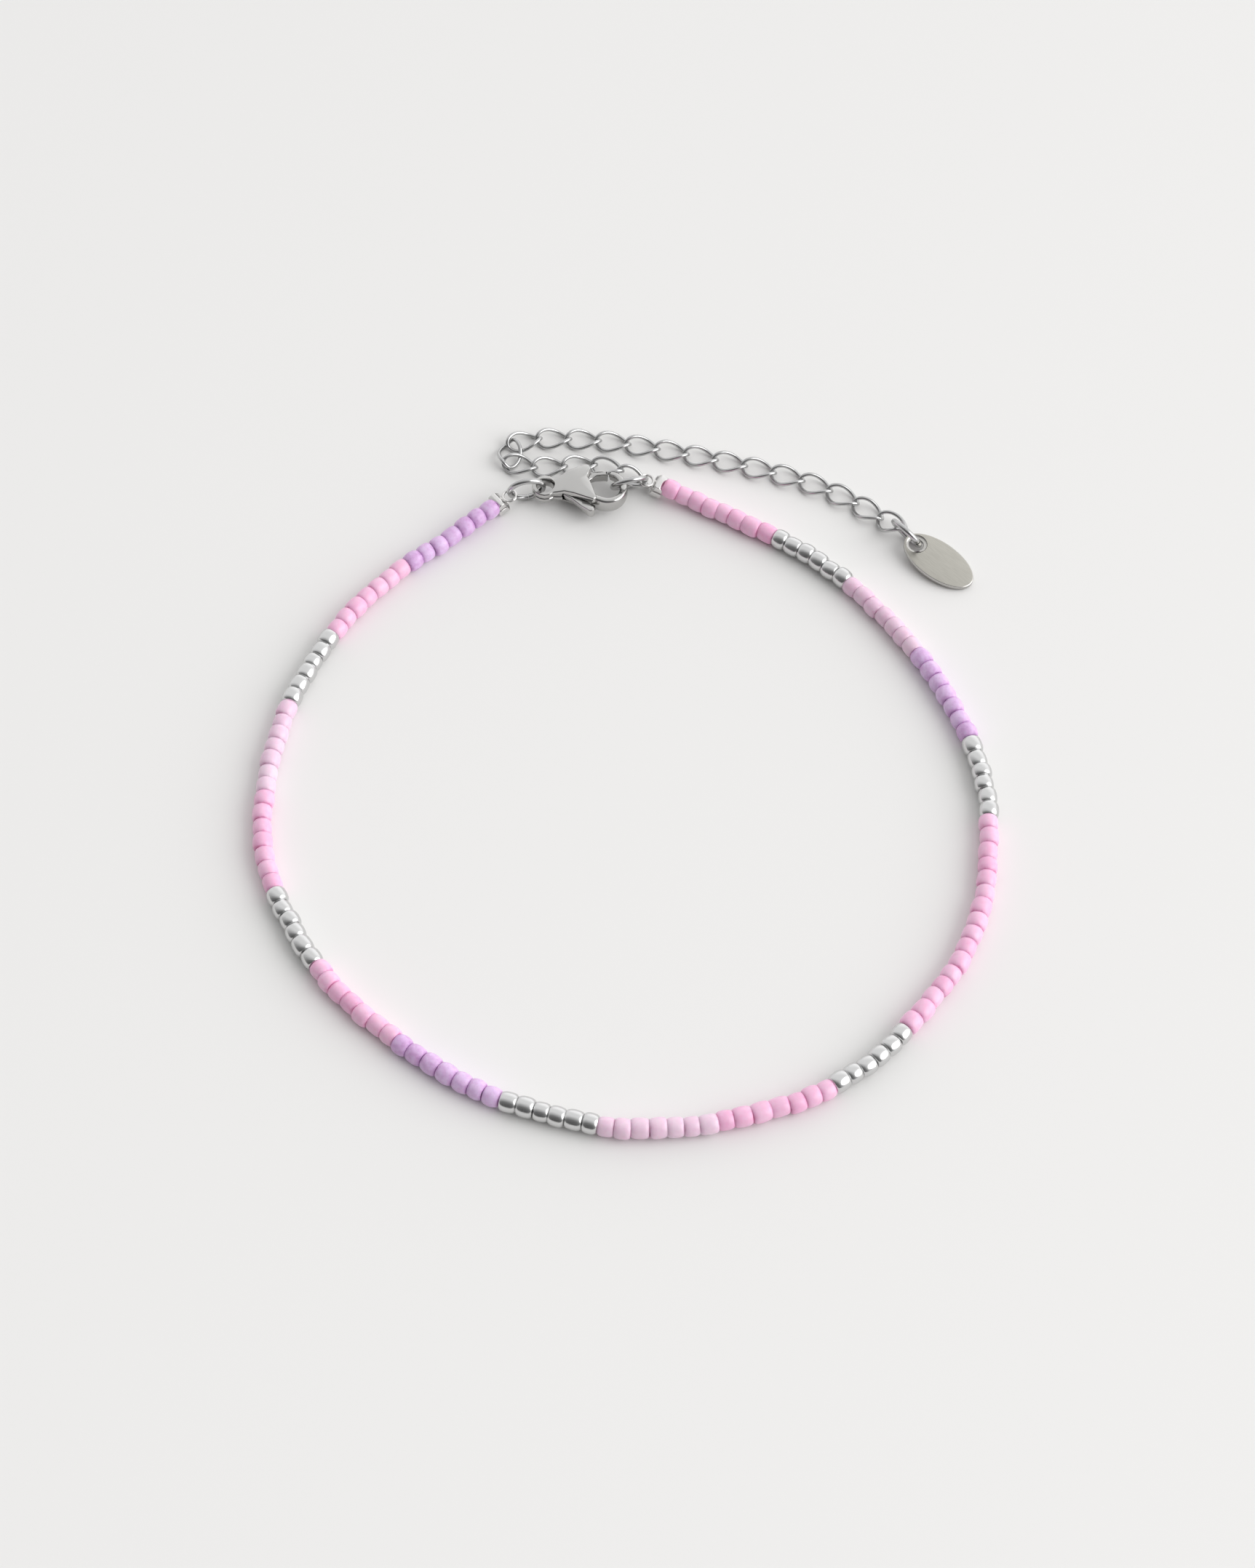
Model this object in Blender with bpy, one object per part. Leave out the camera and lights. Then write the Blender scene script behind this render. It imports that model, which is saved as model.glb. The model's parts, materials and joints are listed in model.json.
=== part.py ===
"""An anklet: a strand of seed beads closed by a lobster clasp, with an extender chain and a tag.

It lies on a surface at z = 0, with +Y away from the viewer. The origin is on the surface,
under the middle of the anklet's box. Metres, +Z up.
"""

import math

import bmesh
import bpy
from mathutils import Matrix, Vector

MM = 0.001

# Clearances between pieces that pass through or sit beside each other
WIRE_GAP = 0.06 * MM
HOLD_SLACK = 0.41 * MM
SLIDE_GAP = 0.1 * MM
STRING_GAP = 0.3 * MM

# Strand of beads
BEAD_DIAMETER = 2.0 * MM
STRING_POINT_STEP = 4.6 * MM

# Extender chain
LINK_PITCH = 3.2 * MM
LINK_WIDTH = 2.7 * MM
LINK_WIRE = 0.4 * MM
LINK_TWIST = 45.0
LINK_SEGMENTS = 16
WIRE_SIDES = 6

# Jump rings
RING_DIAMETER = 4.2 * MM
RING_WIRE = 0.6 * MM
RING_SEGMENTS = 28

# Crimp ends, each a folded box with a wire loop
CRIMP_LENGTH = 1.35 * MM
CRIMP_WIDTH = 1.9 * MM
CRIMP_HEIGHT = 1.7 * MM
CRIMP_LOOP_DIAMETER = 1.75 * MM
CRIMP_LOOP_WIRE = 0.32 * MM
CRIMP_SEAM = 0.16 * MM

# Lobster clasp, measured from the middle of its eye
EYE_DIAMETER = 2.8 * MM
EYE_HOLE = 1.7 * MM
EYE_THICKNESS = 1.3 * MM
NECK_WIDTH = 1.9 * MM
HUB_LENGTH = 5.4 * MM
HUB_WIDTH = 4.8 * MM
HUB_THICKNESS = 2.2 * MM
HOOK_REACH = 2.9 * MM
HOOK_WIDTH = 3.9 * MM
CLAW_WIDTH = 0.85 * MM
CLAW_THICKNESS = 1.8 * MM
LEVER_THICKNESS = 0.8 * MM
LEVER_RADIUS = 2.05 * MM
TAB_REACH = 3.6 * MM
TAB_TIP = 0.9 * MM
GATE_WIDTH = 0.6 * MM
GATE_CLEARANCE = 0.32 * MM
PIN_DIAMETER = 0.8 * MM
CLASP_HEIGHT = 1.64 * MM
CLASP_EDGE = 0.18 * MM

# Tag
TAG_LENGTH = 8.6 * MM
TAG_WIDTH = 4.6 * MM
TAG_THICKNESS = 0.5 * MM
TAG_HOLE = 1.6 * MM
TAG_HOLE_INSET = 0.55 * MM
TAG_DISH = 2.3 * MM
TAG_DISH_DEPTH = 0.2 * MM
TAG_HEADING = -40.6
TAG_TILT = 6.0
TAG_EDGE = 0.12 * MM
TAG_PLAY = 0.25 * MM

# Where the clasp's eye lies, in the strand's own plan, and how each ring and crimp stands
EYE_AT = Vector((-8.7, 37.2, 0.0)) * MM
PLAN_SHIFT = Vector((0.19, -3.29, 0.0)) * MM
PIVOT_ALONG = 0.65
PIVOT_ACROSS = 0.08
LEFT_RING_HEADING = 11.0
LEFT_RING_LEAN = 78.0
LEFT_RING_INSET = -0.2 * MM
RIGHT_RING_HEADING = 16.0
RIGHT_RING_LEAN = 60.0
RIGHT_RING_INSET = 0.42 * MM
RIGHT_RING_ACROSS = 0.15 * MM
TAG_RING_HEADING = -49.0
TAG_RING_LEAN = 65.5

# Where each ring is held, as an angle round its wire, and how the two crimps hang from theirs
LEFT_CRIMP_HOLD = 205.0
LEFT_CRIMP_HEADING = 217.0
LEFT_CRIMP_PITCH = -9.0
RIGHT_CRIMP_HOLD = -8.0
RIGHT_CRIMP_HEADING = -22.0
RIGHT_CRIMP_PITCH = -13.0
RIGHT_RING_HOLD = -41.3
TAG_RING_HOLD = 204.0
FIRST_JOINT_HEIGHT = 1.27 * MM

# Route of the strand between its two crimps, clockwise from the right one, in mm on the surface
STRING_ROUTE = (
    (7.6, 35.8), (15.3, 31.3), (20.6, 27.4), (25.2, 22.5), (29.0, 17.1), (32.2, 11.3),
    (34.6, 5.0), (35.7, -1.4), (35.5, -8.1), (34.4, -14.6), (31.9, -20.7), (28.0, -26.2),
    (23.6, -31.1), (18.2, -34.9), (12.0, -37.2), (5.6, -38.5), (-1.0, -38.7), (-7.5, -37.2),
    (-13.7, -34.9), (-19.3, -31.3), (-24.5, -27.1), (-29.0, -22.3), (-32.5, -16.6), (-35.1, -10.6),
    (-36.1, -4.1), (-35.8, 2.6), (-34.4, 9.0), (-32.0, 15.2), (-28.7, 21.0), (-24.5, 26.1),
    (-19.4, 30.5),
)

# Heading and roll of each link in degrees, from the right ring to the tag's ring
LINK_POSES = (
    (150, 8), (154, 2), (184, 0), (183, 0), (167, 0), (84, 0), (13, 0), (-1, 0), (-4, 0), (-9, 0),
    (-12, 0), (-13, 0), (-14, 0), (-15, 0), (-17, 0), (-20, 0), (-25, 0), (-32, 0), (-39, 0), (-44, 7),
)

# Claw's centreline from the hub's end, as shares of the hook's reach and width, with its width
# and thickness as shares of the claw's own
CLAW_SECTIONS = (
    # along, across, width, thickness
    (-0.073, -0.41, 1.00, 1.00),
    (0.113, -0.49, 1.05, 1.06),
    (0.370, -0.54, 1.00, 1.00),
    (0.657, -0.50, 1.00, 0.98),
    (0.886, -0.35, 1.00, 0.94),
    (1.000, -0.09, 1.00, 0.88),
    (0.928, 0.19, 0.95, 0.78),
    (0.742, 0.38, 0.86, 0.66),
    (0.528, 0.46, 0.72, 0.54),
)

# Hub's outline from the eye round its near side, as shares of its length and width
HUB_OUTLINE = (
    # along, across
    (0.37, -0.215), (0.59, -0.31), (0.80, -0.41), (0.94, -0.47), (1.00, -0.43), (1.01, -0.36),
    (0.97, -0.21), (0.91, 0.00), (0.83, 0.20), (0.87, 0.32), (0.90, 0.43), (0.86, 0.52),
    (0.78, 0.54), (0.63, 0.48), (0.44, 0.39), (0.31, 0.28),
)

STEEL = (0.72, 0.72, 0.73, 1.0)
SATIN_STEEL = (0.55, 0.54, 0.51, 1.0)
PINK = (0.86, 0.42, 0.60, 1.0)


def clear_scene():
    for old in list(bpy.data.objects):
        bpy.data.objects.remove(old)


def material(name, colour, metallic, roughness):
    made = bpy.data.materials.new(name)
    made.use_nodes = True
    shader = made.node_tree.nodes["Principled BSDF"]
    shader.inputs["Base Color"].default_value = colour
    shader.inputs["Metallic"].default_value = metallic
    shader.inputs["Roughness"].default_value = roughness
    return made


def add_object(name, data, at=None, finish=None):
    """An object of this mesh or curve, placed by the matrix and given its own material."""
    made = bpy.data.objects.new(name, data)
    bpy.context.scene.collection.objects.link(made)
    if at is not None:
        made.matrix_world = at
    if finish is not None:
        data.materials.append(material(name, *finish))
    return made


def pose(at, heading=0.0, pitch=0.0, roll=0.0):
    """Matrix of a piece at a point: it faces the heading, nose up by the pitch, then rolls."""
    turn = Matrix.Rotation(math.radians(heading), 4, "Z")
    nose = Matrix.Rotation(math.radians(-pitch), 4, "Y")
    bank = Matrix.Rotation(math.radians(roll), 4, "X")
    return Matrix.Translation(at) @ turn @ nose @ bank


def unit(heading):
    return Vector((math.cos(math.radians(heading)), math.sin(math.radians(heading)), 0.0))


def smooth_curve(points, closed=False, steps=16):
    """Points on the Catmull-Rom curve through the given ones."""
    count = len(points)
    if closed:
        ends = [points[-1], *points, points[0], points[1]]
    else:
        ends = [2 * points[0] - points[1], *points, 2 * points[-1] - points[-2]]
    found = []
    for i in range(count if closed else count - 1):
        a, b, c, d = ends[i:i + 4]
        for k in range(steps):
            t = k / steps
            found.append(
                0.5 * (2 * b + (c - a) * t + (2 * a - 5 * b + 4 * c - d) * t**2
                       + (3 * b - a - 3 * c + d) * t**3)
            )
    if not closed:
        found.append(points[-1].copy())
    return found


def evenly(points, step):
    """Points along the path at equal distances, as near to the step as fits."""
    lengths = [0.0]
    for before, after in zip(points, points[1:]):
        lengths.append(lengths[-1] + (after - before).length)
    count = max(2, round(lengths[-1] / step))
    found = []
    k = 0
    for i in range(count + 1):
        want = lengths[-1] * i / count
        while k < len(points) - 2 and lengths[k + 1] < want:
            k += 1
        share = (want - lengths[k]) / (lengths[k + 1] - lengths[k])
        found.append(points[k].lerp(points[k + 1], min(1.0, share)))
    return found


def tube_mesh(name, centres, outwards, section, closed):
    """Mesh swept along the centres. At each one a section's pairs lie along outward and across."""
    shape = bmesh.new()
    loops = []
    for i, centre in enumerate(centres):
        after = centres[(i + 1) % len(centres)] if closed else centres[min(i + 1, len(centres) - 1)]
        before = centres[i - 1] if closed or i else centres[0]
        along = (after - before).normalized()
        out = outwards[i] - outwards[i].dot(along) * along
        out.normalize()
        across = along.cross(out)
        loops.append([shape.verts.new(centre + u * out + v * across) for u, v in section(i)])
    sides = len(loops[0])
    for i in range(len(loops) if closed else len(loops) - 1):
        first = loops[i]
        second = loops[(i + 1) % len(loops)]
        for k in range(sides):
            n = (k + 1) % sides
            shape.faces.new((first[k], first[n], second[n], second[k]))
    if not closed:
        shape.faces.new(loops[0][::-1])
        shape.faces.new(loops[-1])
    bmesh.ops.recalc_face_normals(shape, faces=shape.faces)
    mesh = bpy.data.meshes.new(name)
    shape.to_mesh(mesh)
    shape.free()
    mesh.shade_smooth()
    return mesh


def round_section(radius, sides):
    turn = 2 * math.pi / sides
    return [(radius * math.cos((k + 0.5) * turn), radius * math.sin((k + 0.5) * turn))
            for k in range(sides)]


def ring_mesh(name, diameter, wire, segments, sides):
    """A round ring in its own XY plane, of this outer diameter."""
    radius = (diameter - wire) / 2
    centres = [radius * unit(360 * i / segments) for i in range(segments)]
    section = round_section(wire / 2, sides)
    return tube_mesh(name, centres, centres, lambda i: section, closed=True)


def prism_mesh(name, outline, low, high):
    """A straight-sided plate between two heights over this outline."""
    shape = bmesh.new()
    face = shape.faces.new([shape.verts.new((x, y, low)) for x, y in outline])
    made = bmesh.ops.extrude_face_region(shape, geom=[face])
    moved = [v for v in made["geom"] if isinstance(v, bmesh.types.BMVert)]
    bmesh.ops.translate(shape, verts=moved, vec=(0, 0, high - low))
    bmesh.ops.recalc_face_normals(shape, faces=shape.faces)
    mesh = bpy.data.meshes.new(name)
    shape.to_mesh(mesh)
    shape.free()
    return mesh


def cone_mesh(name, low_radius, high_radius, depth):
    """A cone's slice whose top stands as far above its own origin as its foot lies below."""
    shape = bmesh.new()
    bmesh.ops.create_cone(
        shape, cap_ends=True, segments=24, radius1=low_radius, radius2=2 * high_radius - low_radius,
        depth=2 * depth,
    )
    mesh = bpy.data.meshes.new(name)
    shape.to_mesh(mesh)
    shape.free()
    return mesh


def arc(centre, radius, start, end, count):
    """Points on an arc from one angle to another, in degrees."""
    step = (end - start) / count
    return [centre + radius * unit(start + step * k).to_2d() for k in range(count + 1)]


def bevel(made, width, segments=2, angle=30.0):
    rounded = made.modifiers.new("rounded edges", "BEVEL")
    rounded.width = width
    rounded.segments = segments
    rounded.limit_method = "ANGLE"
    rounded.angle_limit = math.radians(angle)


def combine(made, other, operation):
    """Cuts the other object out of this one, or joins it, and keeps the other out of the model."""
    change = made.modifiers.new(other.name, "BOOLEAN")
    change.operation = operation
    change.object = other
    other.hide_render = True
    other.display_type = "WIRE"


def finish_edges(made):
    made.data.shade_smooth()
    made.data.set_sharp_from_angle(angle=math.radians(35))


def ring_pose(centre_plan, heading, lean):
    """A jump ring stands on the surface, its near edge up by the lean from flat."""
    height = (RING_DIAMETER - RING_WIRE) / 2 * math.sin(math.radians(lean)) + RING_WIRE / 2
    return pose(Vector((centre_plan.x, centre_plan.y, height)), heading, 0.0, -lean)


def ring_point(at, angle):
    """Point on the wire's centreline of a jump ring, from its heading's end and up its near side."""
    radius = (RING_DIAMETER - RING_WIRE) / 2
    return at @ (radius * unit(-angle))


def build_ring(name, at):
    mesh = ring_mesh(name, RING_DIAMETER, RING_WIRE, RING_SEGMENTS, WIRE_SIDES + 2)
    add_object(name, mesh, at, (STEEL, 1.0, 0.15))


def build_crimp(name, at):
    """A folded crimp with its loop's middle at its origin and its mouth along +X.

    Gives the point where the strand begins.
    """
    front = CRIMP_LOOP_DIAMETER / 2 - CRIMP_LOOP_WIRE / 2
    back = front + CRIMP_LENGTH
    half = CRIMP_WIDTH / 2
    outline = [(front, -half), (back, -half), (back, half), (front, half)]
    made = add_object(
        name, prism_mesh(name, outline, -CRIMP_HEIGHT / 2, CRIMP_HEIGHT / 2), at, (STEEL, 1.0, 0.2)
    )
    bevel(made, CRIMP_HEIGHT * 0.14)
    loop = add_object(
        name + "_loop", ring_mesh(name + "_loop", CRIMP_LOOP_DIAMETER, CRIMP_LOOP_WIRE, 16, WIRE_SIDES), at
    )
    combine(made, loop, "UNION")
    seam = [(front - CRIMP_WIDTH, -CRIMP_SEAM / 2), (back + CRIMP_WIDTH, -CRIMP_SEAM / 2),
            (back + CRIMP_WIDTH, CRIMP_SEAM / 2), (front - CRIMP_WIDTH, CRIMP_SEAM / 2)]
    top = CRIMP_HEIGHT / 2
    groove = add_object(
        name + "_seam", prism_mesh(name + "_seam", seam, top - 1.5 * CRIMP_SEAM, 2 * top), at
    )
    combine(made, groove, "DIFFERENCE")
    finish_edges(made)
    return at @ Vector((back + STRING_GAP, 0.0, 0.0))


def clasp_thickness(x):
    """Full thickness of the clasp's plates at a distance from the eye."""
    share = min(1.0, max(0.0, x / (PIVOT_ALONG * HUB_LENGTH)))
    eased = share * share * (3 - 2 * share)
    return EYE_THICKNESS + (HUB_THICKNESS - EYE_THICKNESS) * eased


def hub_mesh():
    """Eye and hub in one outline, thicker towards the hub."""
    turn = math.degrees(math.asin(NECK_WIDTH / EYE_DIAMETER))
    outline = arc(Vector((0, 0)), EYE_DIAMETER / 2, turn, 360 - turn, 18)
    outline += [Vector((a * HUB_LENGTH, b * HUB_WIDTH)) for a, b in HUB_OUTLINE]
    mesh = prism_mesh("clasp_body", outline, -0.5, 0.5)
    for vertex in mesh.vertices:
        vertex.co.z *= clasp_thickness(vertex.co.x)
    return mesh


def claw_point(along, across):
    return Vector((HUB_LENGTH + along * HOOK_REACH, across * HOOK_WIDTH, 0.0))


def claw_mesh():
    """The fixed claw, swept round from the hub's near corner to its tip, with oval sections."""
    rows = [claw_point(along, across) for along, across, _, _ in CLAW_SECTIONS]
    steps = 3
    centres = smooth_curve(rows, steps=steps)
    sizes = smooth_curve([Vector((w, t, 0.0)) for _, _, w, t in CLAW_SECTIONS], steps=steps)
    middle = Vector((HUB_LENGTH + 0.43 * HOOK_REACH, 0.0, 0.0))
    sides = 12

    def section(i):
        wide = sizes[i].x * CLAW_WIDTH / 2
        thick = sizes[i].y * CLAW_THICKNESS / 2
        angles = [2 * math.pi * (k + 0.5) / sides for k in range(sides)]
        return [(wide * squared(math.cos(t)), thick * squared(math.sin(t))) for t in angles]

    outwards = [centre - middle for centre in centres]
    return tube_mesh("claw", centres, outwards, section, closed=False)


def squared(value):
    """Pushes a sine or cosine outwards, so that an oval's corners fill out."""
    return math.copysign(abs(value) ** 0.75, value)


def pivot():
    return Vector((PIVOT_ALONG * HUB_LENGTH, PIVOT_ACROSS * HUB_WIDTH, 0.0))


def build_clasp(at):
    body = add_object("clasp_body", hub_mesh(), at, (STEEL, 1.0, 0.12))
    bevel(body, CLASP_EDGE)
    hole_mesh = prism_mesh(
        "eye_hole", arc(Vector((0, 0)), EYE_HOLE / 2, 0, 345, 23), -HUB_THICKNESS, HUB_THICKNESS
    )
    combine(body, add_object("eye_hole", hole_mesh, at), "DIFFERENCE")
    slot = LEVER_THICKNESS / 2 + SLIDE_GAP
    centre = pivot().to_2d()
    round_end = arc(centre, LEVER_RADIUS + 1.5 * SLIDE_GAP, 90, 250, 16)
    far = HUB_LENGTH * 1.5
    cut = round_end + [
        Vector((round_end[-1].x, -HUB_WIDTH)), Vector((far, -HUB_WIDTH)), Vector((far, HUB_WIDTH)),
        Vector((round_end[0].x, HUB_WIDTH)),
    ]
    combine(body, add_object("lever_slot", prism_mesh("lever_slot", cut, -slot, slot), at), "DIFFERENCE")
    combine(body, add_object("claw", claw_mesh(), at), "UNION")
    pin = prism_mesh("pivot_pin", arc(centre, PIN_DIAMETER / 2, 0, 330, 11), -0.4 * HUB_THICKNESS,
                     0.4 * HUB_THICKNESS)
    combine(body, add_object("pivot_pin", pin, at), "UNION")
    finish_edges(body)
    build_lever(at @ Matrix.Translation(pivot()))


def build_lever(at):
    """Spring lever with its origin on the pivot: gate to the far right, thumb tab to the near side."""
    tab = Vector((0.37 * TAB_REACH, -0.93 * TAB_REACH))
    tip_along, tip_across = CLAW_SECTIONS[-1][:2]
    gate = (claw_point(tip_along, tip_across) - pivot()).to_2d()
    gate.x -= GATE_CLEARANCE
    low = gate.y - GATE_WIDTH * 0.6
    outline = arc(Vector((0, 0)), LEVER_RADIUS, 110, 247, 12)
    outline += arc(tab, TAB_TIP / 2, 215, 380, 6)
    outline += [
        Vector((0.30 * gate.x, -0.50 * TAB_REACH)),
        Vector((0.31 * gate.x, -0.10 * TAB_REACH)),
        Vector((0.42 * gate.x, low * 0.60)),
        Vector((0.62 * gate.x, low * 0.93)),
        Vector((0.85 * gate.x, low)),
        Vector((gate.x, low)),
        gate + Vector((0.0, 0.35 * GATE_WIDTH)),
        gate + Vector((-0.18 * gate.x, 0.48 * GATE_WIDTH)),
        gate + Vector((-0.45 * gate.x, 0.50 * GATE_WIDTH)),
        gate + Vector((-0.70 * gate.x, 0.40 * GATE_WIDTH)),
    ]
    half = LEVER_THICKNESS / 2
    lever = add_object("clasp_lever", prism_mesh("clasp_lever", outline, -half, half), at, (STEEL, 1.0, 0.15))
    bevel(lever, LEVER_THICKNESS * 0.12, segments=1)
    bore = arc(Vector((0, 0)), PIN_DIAMETER / 2 + SLIDE_GAP, 0, 330, 11)
    cutter = add_object("lever_bore", prism_mesh("lever_bore", bore, -2 * half, 2 * half), at)
    combine(lever, cutter, "DIFFERENCE")
    finish_edges(lever)


def link_mesh():
    """One twisted oval link along X, its two ends turned opposite ways about X."""
    half_long = (LINK_PITCH + LINK_WIRE + WIRE_GAP) / 2
    half_wide = (LINK_WIDTH - LINK_WIRE) / 2
    centres = []
    for i in range(LINK_SEGMENTS):
        t = 2 * math.pi * i / LINK_SEGMENTS
        twist = math.radians(-LINK_TWIST * math.cos(t))
        side = half_wide * math.sin(t)
        centres.append(Vector((half_long * math.cos(t), side * math.cos(twist), side * math.sin(twist))))
    section = round_section(LINK_WIRE / 2, WIRE_SIDES)
    return tube_mesh("link", centres, centres, lambda i: section, closed=True)


def link_rest_height():
    """Height of the chain's axis when a twisted link rests on the surface."""
    half_wide = (LINK_WIDTH - LINK_WIRE) / 2
    steps = [math.radians(k) for k in range(91)]
    rise = max(math.sin(t) * math.sin(math.radians(LINK_TWIST) * math.cos(t)) for t in steps)
    return half_wide * rise + LINK_WIRE / 2


def build_chain(held, last_height):
    """The links in turn from the point that holds the first, and the point that holds the last."""
    mesh = link_mesh()
    overlap = LINK_WIRE + WIRE_GAP
    full = LINK_PITCH + overlap
    headings = [heading for heading, _ in LINK_POSES]
    turns = [abs((b - a + 180) % 360 - 180) for a, b in zip(headings, headings[1:])]
    reaches = [overlap / 2 / math.cos(math.radians(turn / 2)) ** 3 for turn in turns]
    end_reach = (RING_WIRE + LINK_WIRE) / 2 + WIRE_GAP + HOLD_SLACK
    reaches = [end_reach, *reaches, end_reach]
    heights = [FIRST_JOINT_HEIGHT] + [link_rest_height()] * (len(LINK_POSES) - 2) + [last_height]
    joint = held
    for i, (heading, roll) in enumerate(LINK_POSES):
        length = full - reaches[i] - reaches[i + 1]
        rise = max(-0.5, min(0.5, (heights[i] - joint.z) / length))
        way = unit(heading) * math.sqrt(1 - rise**2) + Vector((0, 0, rise))
        at = pose(joint + way * (full / 2 - reaches[i]), heading, math.degrees(math.asin(rise)), roll)
        add_object(f"link_{i + 1:02d}", mesh.copy(), at, (STEEL, 1.0, 0.15))
        joint = joint + way * length
    return joint


def build_tag(ring_at):
    """Oval tag on its ring: raised where the ring passes under it, its far end on the surface.

    The ring stands off the middle of the tag's hole by the play.
    """
    inset = TAG_HOLE / 2 + TAG_HOLE_INSET
    to_hole = TAG_LENGTH / 2 - inset
    tilt = math.radians(TAG_TILT)
    rise = to_hole * math.sin(tilt) + TAG_LENGTH / 2 * math.sin(tilt) + TAG_THICKNESS / 2
    ring = ring_at.translation
    depth = (ring.z - rise) / math.sin(math.radians(TAG_RING_LEAN))
    radius = (RING_DIAMETER - RING_WIRE) / 2
    angle = -math.degrees(math.asin(max(-1.0, min(1.0, depth / radius))))
    hole = ring_point(ring_at, angle) - Vector((TAG_PLAY, 0.0, 0.0))
    middle = hole + unit(TAG_HEADING) * to_hole * math.cos(tilt)
    middle.z = rise - to_hole * math.sin(tilt)
    at = pose(middle, TAG_HEADING, -TAG_TILT, 0.0)
    half_long = TAG_LENGTH / 2
    half_wide = TAG_WIDTH / 2
    outline = [Vector((half_long * math.cos(t), half_wide * math.sin(t)))
               for t in (2 * math.pi * k / 40 for k in range(40))]
    mesh = prism_mesh("tag", outline, -TAG_THICKNESS / 2, TAG_THICKNESS / 2)
    tag = add_object("tag", mesh, at, (SATIN_STEEL, 1.0, 0.35))
    bevel(tag, TAG_EDGE)
    bore = arc(Vector((-to_hole, 0)), TAG_HOLE / 2, 0, 345, 23)
    cutter = add_object("tag_hole", prism_mesh("tag_hole", bore, -TAG_LENGTH, TAG_LENGTH), at)
    combine(tag, cutter, "DIFFERENCE")
    dish = add_object("tag_dish", cone_mesh("tag_dish", TAG_HOLE / 2, TAG_DISH / 2, TAG_DISH_DEPTH),
                      at @ Matrix.Translation((-to_hole, 0.0, TAG_THICKNESS / 2)))
    combine(tag, dish, "DIFFERENCE")
    finish_edges(tag)


def build_string(start, end):
    """The strand as one tube through its route, from crimp to crimp."""
    low = BEAD_DIAMETER / 2
    route = [Vector((x * MM, y * MM, low)) + PLAN_SHIFT for x, y in STRING_ROUTE]
    path = evenly(smooth_curve([start, *route, end]), STRING_POINT_STEP)
    for place in path:
        place.z = max(place.z, low)
    curve = bpy.data.curves.new("bead_string", "CURVE")
    curve.dimensions = "3D"
    curve.bevel_depth = BEAD_DIAMETER / 2
    curve.bevel_resolution = 2
    curve.use_fill_caps = True
    spline = curve.splines.new("POLY")
    spline.points.add(len(path) - 1)
    for point, place in zip(spline.points, path):
        point.co = (*place, 1.0)
    spline.use_smooth = True
    add_object("bead_string", curve, Matrix.Identity(4), (PINK, 0.0, 0.5))


def main():
    clear_scene()
    eye = EYE_AT + PLAN_SHIFT
    eye.z = CLASP_HEIGHT
    build_clasp(pose(eye))

    radius = (RING_DIAMETER - RING_WIRE) / 2
    left_plan = eye - unit(LEFT_RING_HEADING) * (radius - LEFT_RING_INSET)
    left_ring = ring_pose(left_plan, LEFT_RING_HEADING, LEFT_RING_LEAN)
    build_ring("ring_left", left_ring)
    inside = HUB_LENGTH + HOOK_REACH - CLAW_WIDTH / 2 - RING_WIRE / 2 - RIGHT_RING_INSET
    right_plan = eye + Vector((inside, RIGHT_RING_ACROSS, 0.0)) + unit(RIGHT_RING_HEADING) * radius
    right_ring = ring_pose(right_plan, RIGHT_RING_HEADING, RIGHT_RING_LEAN)
    build_ring("ring_right", right_ring)

    slack = CRIMP_LOOP_DIAMETER / 2 - CRIMP_LOOP_WIRE - RING_WIRE / 2 - WIRE_GAP
    left_hold = ring_point(left_ring, LEFT_CRIMP_HOLD) + unit(LEFT_CRIMP_HEADING) * slack
    left_end = build_crimp("crimp_left", pose(left_hold, LEFT_CRIMP_HEADING, LEFT_CRIMP_PITCH))
    right_hold = ring_point(right_ring, RIGHT_CRIMP_HOLD) + unit(RIGHT_CRIMP_HEADING) * slack
    right_end = build_crimp("crimp_right", pose(right_hold, RIGHT_CRIMP_HEADING, RIGHT_CRIMP_PITCH))
    build_string(right_end, left_end)

    tag_ring = ring_pose(Vector((0, 0, 0)), TAG_RING_HEADING, TAG_RING_LEAN)
    held = ring_point(tag_ring, TAG_RING_HOLD)
    chain_end = build_chain(ring_point(right_ring, RIGHT_RING_HOLD), held.z)
    tag_ring = ring_pose(chain_end - held, TAG_RING_HEADING, TAG_RING_LEAN)
    build_ring("ring_tag", tag_ring)
    build_tag(tag_ring)


main()
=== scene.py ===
"""Looks of the anklet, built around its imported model: beads, chain, rings, crimps, clasp and tag."""

import json
import math
import random

import bmesh
import bpy
import numpy as np
from mathutils import Matrix, Vector


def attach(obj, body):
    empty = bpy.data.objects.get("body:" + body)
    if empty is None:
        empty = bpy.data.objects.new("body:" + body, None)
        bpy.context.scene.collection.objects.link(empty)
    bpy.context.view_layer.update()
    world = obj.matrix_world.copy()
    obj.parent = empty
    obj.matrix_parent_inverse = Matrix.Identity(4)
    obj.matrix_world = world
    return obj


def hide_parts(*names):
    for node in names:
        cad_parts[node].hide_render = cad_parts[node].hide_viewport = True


MM = 0.001
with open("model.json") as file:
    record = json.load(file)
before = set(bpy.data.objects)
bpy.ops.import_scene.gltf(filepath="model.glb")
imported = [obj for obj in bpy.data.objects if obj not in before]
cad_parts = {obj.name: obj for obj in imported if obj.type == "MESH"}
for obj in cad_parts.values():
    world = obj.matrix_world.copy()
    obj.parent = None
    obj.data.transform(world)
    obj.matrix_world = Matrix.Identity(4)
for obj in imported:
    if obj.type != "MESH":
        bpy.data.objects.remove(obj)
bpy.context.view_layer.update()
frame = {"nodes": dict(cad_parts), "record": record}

# Camera, at the photograph's angle
CAMERA_ELEVATION = 56.0
CAMERA_DISTANCE = 333.5 * MM
CAMERA_LENS = 76.8
CAMERA_TARGET = Vector((0.19, -3.29, 1.0)) * MM

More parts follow.
